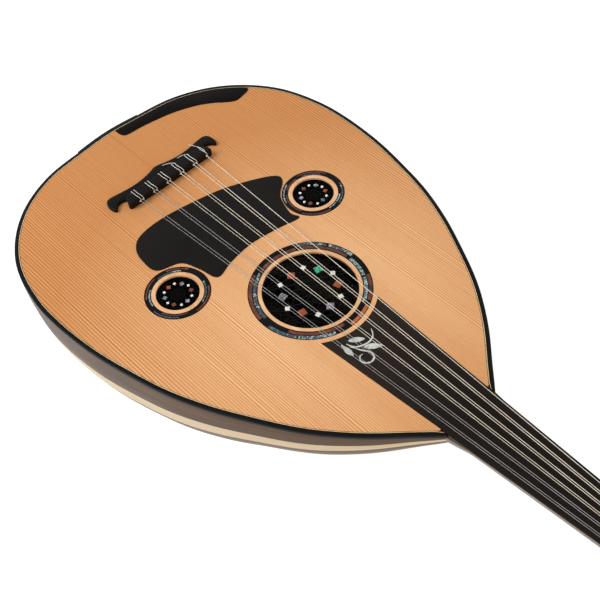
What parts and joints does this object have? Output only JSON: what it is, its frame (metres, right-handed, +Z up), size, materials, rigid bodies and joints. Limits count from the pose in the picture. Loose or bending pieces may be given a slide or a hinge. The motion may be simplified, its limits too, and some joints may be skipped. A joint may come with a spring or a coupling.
{
  "type": "oud",
  "caption": "Pear-shaped lute with a ribbed bowl back, three carved rosettes, paired strings and a bent-back pegbox with tuning pegs that turn.",
  "frame": {"origin": "middle of the underside of the whole instrument, on the plane that the bowl and the pegbox foot rest on", "axes": "+X towards the bass side, +Y from the neck to the tail, +Z up out of the soundboard, with the oud lying on its back"},
  "size_m": [0.3748, 0.827, 0.1979],
  "materials": {
    "spruce": "thin satin varnish, fine straight grain along the neck",
    "walnut": "glossy varnish over straight brown grain",
    "maple": "glossy varnish over pale figured wood",
    "ebony": "smooth satin black wood",
    "rosewood": "inlaid rings of dark wood and shell, varnished",
    "bone": "polished bone",
    "string": "nylon treble strings and wound bass strings"
  },
  "bodies": {
    "root": {"rib_01": "walnut", "rib_02": "maple", "rib_03": "walnut", "rib_04": "maple", "rib_05": "walnut", "rib_06": "maple", "rib_07": "walnut", "rib_08": "maple", "rib_09": "walnut", "rib_10": "maple", "rib_11": "walnut", "rib_12": "maple", "rib_13": "walnut", "rib_14": "maple", "rib_15": "walnut", "rib_16": "maple", "rib_17": "walnut", "string_01": "string", "string_02": "string", "string_03": "string", "string_04": "string", "string_05": "string", "string_06": "string", "string_07": "string", "string_08": "string", "string_09": "string", "string_10": "string", "string_11": "string", "soundboard": "spruce", "brace_1": "spruce", "brace_2": "spruce", "brace_3": "spruce", "neck_block": "spruce", "tail_block": "spruce", "binding": "ebony", "end_clasp": "ebony", "pickguard": "ebony", "arm_guard": "ebony", "bridge": "ebony", "fingerboard": "ebony", "ring_main": "rosewood", "ring_bass": "rosewood", "ring_treble": "rosewood", "rosette_main": "ebony", "rosette_bass": "ebony", "rosette_treble": "ebony", "neck": "walnut", "pegbox": "walnut", "nut": "bone"},
    "peg_01": {"peg_01": "ebony"},
    "peg_02": {"peg_02": "ebony"},
    "peg_03": {"peg_03": "ebony"},
    "peg_04": {"peg_04": "ebony"},
    "peg_05": {"peg_05": "ebony"},
    "peg_06": {"peg_06": "ebony"},
    "peg_07": {"peg_07": "ebony"},
    "peg_08": {"peg_08": "ebony"},
    "peg_09": {"peg_09": "ebony"},
    "peg_10": {"peg_10": "ebony"},
    "peg_11": {"peg_11": "ebony"}
  },
  "joints": [
    {"name": "peg_01_turn", "type": "hinge", "parent": "root", "child": "peg_01", "pos_m": [0, -0.2966, 0.15731], "axis": [1, 0, 0], "continuous": true},
    {"name": "peg_02_turn", "type": "hinge", "parent": "root", "child": "peg_02", "pos_m": [0, -0.3058, 0.1447], "axis": [1, 0, 0], "continuous": true},
    {"name": "peg_03_turn", "type": "hinge", "parent": "root", "child": "peg_03", "pos_m": [0, -0.31501, 0.1321], "axis": [1, 0, 0], "continuous": true},
    {"name": "peg_04_turn", "type": "hinge", "parent": "root", "child": "peg_04", "pos_m": [0, -0.32421, 0.1195], "axis": [1, 0, 0], "continuous": true},
    {"name": "peg_05_turn", "type": "hinge", "parent": "root", "child": "peg_05", "pos_m": [0, -0.33341, 0.1069], "axis": [1, 0, 0], "continuous": true},
    {"name": "peg_06_turn", "type": "hinge", "parent": "root", "child": "peg_06", "pos_m": [0, -0.34261, 0.0943], "axis": [1, 0, 0], "continuous": true},
    {"name": "peg_07_turn", "type": "hinge", "parent": "root", "child": "peg_07", "pos_m": [0, -0.35181, 0.0817], "axis": [1, 0, 0], "continuous": true},
    {"name": "peg_08_turn", "type": "hinge", "parent": "root", "child": "peg_08", "pos_m": [0, -0.36101, 0.0691], "axis": [1, 0, 0], "continuous": true},
    {"name": "peg_09_turn", "type": "hinge", "parent": "root", "child": "peg_09", "pos_m": [0, -0.37022, 0.0565], "axis": [1, 0, 0], "continuous": true},
    {"name": "peg_10_turn", "type": "hinge", "parent": "root", "child": "peg_10", "pos_m": [0, -0.37942, 0.0439], "axis": [1, 0, 0], "continuous": true},
    {"name": "peg_11_turn", "type": "hinge", "parent": "root", "child": "peg_11", "pos_m": [0, -0.38862, 0.0313], "axis": [1, 0, 0], "continuous": true}
  ]
}
